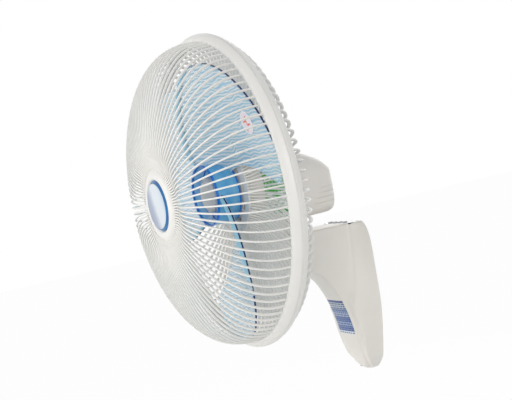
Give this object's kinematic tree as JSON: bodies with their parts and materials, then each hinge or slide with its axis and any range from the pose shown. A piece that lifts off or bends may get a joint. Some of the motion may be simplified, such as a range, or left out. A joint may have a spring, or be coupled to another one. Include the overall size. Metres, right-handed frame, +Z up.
{
  "type": "wall mounted fan",
  "caption": "Wall mounted electric fan: a bracket with push buttons carries a tilting, swinging head with a motor, clear curved blades and round ribbed guards.",
  "frame": {"origin": "centre of the back face of the wall plate, on the wall", "axes": "+Z up along the wall, +Y into the wall, +X to the right seen from the front; the fan blows towards -Y"},
  "size_m": [0.4326, 0.2804, 0.5094],
  "materials": {
    "white_plastic": "satin warm white moulding",
    "cover_plastic": "fine grained grey white moulding",
    "blade_plastic": "clear pale blue, rippled",
    "nut_plastic": "satin pale grey",
    "badge_blue": "glossy clear blue",
    "badge_pearl": "glossy pearl",
    "smoked_panel": "glossy smoked grey",
    "button_plastic": "satin pale grey",
    "receiver_plastic": "glossy dark red",
    "gear_plastic": "natural white",
    "rubber": "matt dark grey",
    "board": "green lacquered laminate",
    "terminal_plastic": "natural white",
    "steel": "zinc plated",
    "bearing_steel": "ground",
    "core_steel": "varnished laminations",
    "copper": "varnished copper wire",
    "cast_aluminium": "as cast",
    "bronze": "sintered"
  },
  "bodies": {
    "wall_arm": {"wall_plate": "steel", "bracket_shell": "white_plastic", "back_cover": "cover_plastic", "cord_gland": "rubber", "lock_screw": "steel", "cover_screw_left": "steel", "cover_screw_right": "steel", "power_board": "board", "terminal_block": "terminal_plastic", "control_panel": "smoked_panel", "receiver_lens": "receiver_plastic", "control_board": "board", "tilt_bolt": "steel", "tilt_nut": "steel", "pivot_cap_left": "white_plastic", "pivot_cap_right": "white_plastic", "friction_washer_left": "rubber", "friction_washer_right": "rubber"},
    "neck": {"neck": "white_plastic", "swivel_post": "steel", "swing_gear": "gear_plastic", "post_clip": "steel"},
    "head": {"swivel_housing": "cast_aluminium", "swivel_bush": "bronze", "swing_motor": "steel", "stator_core": "core_steel", "winding_front": "copper", "winding_rear": "copper", "front_bell": "cast_aluminium", "rear_bell": "cast_aluminium", "front_bearing": "bearing_steel", "rear_bearing": "bearing_steel", "motor_bolt_1": "steel", "motor_bolt_2": "steel", "motor_bolt_3": "steel", "motor_bolt_4": "steel", "motor_front_cover": "white_plastic", "motor_housing": "white_plastic", "housing_screw": "steel", "run_capacitor": "terminal_plastic", "rear_guard": "white_plastic", "guard_nut": "white_plastic", "front_guard": "white_plastic", "badge_ring": "badge_blue", "badge_lens": "badge_pearl"},
    "rotor": {"motor_shaft": "bearing_steel", "rotor_core": "core_steel", "blade_set": "blade_plastic", "blade_nut": "nut_plastic", "drive_pin": "steel"},
    "pinion": {"swing_pinion": "gear_plastic"},
    "power_button": {"button_power": "button_plastic"},
    "speed_button": {"button_speed": "button_plastic"},
    "timer_button": {"button_timer": "button_plastic"},
    "swing_button": {"button_swing": "button_plastic"}
  },
  "joints": [
    {"name": "head_tilt", "type": "hinge", "parent": "wall_arm", "child": "neck", "pos_m": [0, -0.115, 0.087], "axis": [1, 0, 0], "range_deg": [-5, 25]},
    {"name": "head_swing", "type": "hinge", "parent": "neck", "child": "head", "pos_m": [0, -0.106, 0.134], "axis": [0, 0, 1], "range_deg": [-40, 40]},
    {"name": "blade_spin", "type": "hinge", "parent": "head", "child": "rotor", "pos_m": [0, -0.2, 0.185], "axis": [0, 1, 0], "continuous": true},
    {"name": "pinion_turn", "type": "hinge", "parent": "head", "child": "pinion", "pos_m": [0, -0.07765, 0.134], "axis": [0, 0, 1], "range_deg": [-100, 100]},
    {"name": "power_press", "type": "slide", "parent": "wall_arm", "child": "power_button", "axis": [0, 0, -1], "range_m": [0, 0.001], "stiffness_N_per_m": 1000, "springref_m": -0.0005},
    {"name": "speed_press", "type": "slide", "parent": "wall_arm", "child": "speed_button", "axis": [0, 0, -1], "range_m": [0, 0.001], "stiffness_N_per_m": 1000, "springref_m": -0.0005},
    {"name": "timer_press", "type": "slide", "parent": "wall_arm", "child": "timer_button", "axis": [0, 0, -1], "range_m": [0, 0.001], "stiffness_N_per_m": 1000, "springref_m": -0.0005},
    {"name": "swing_press", "type": "slide", "parent": "wall_arm", "child": "swing_button", "axis": [0, 0, -1], "range_m": [0, 0.001], "stiffness_N_per_m": 1000, "springref_m": -0.0005}
  ],
  "couplings": [
    {"joint": "pinion_turn", "follows": "head_swing", "ratio": 2.5}
  ]
}
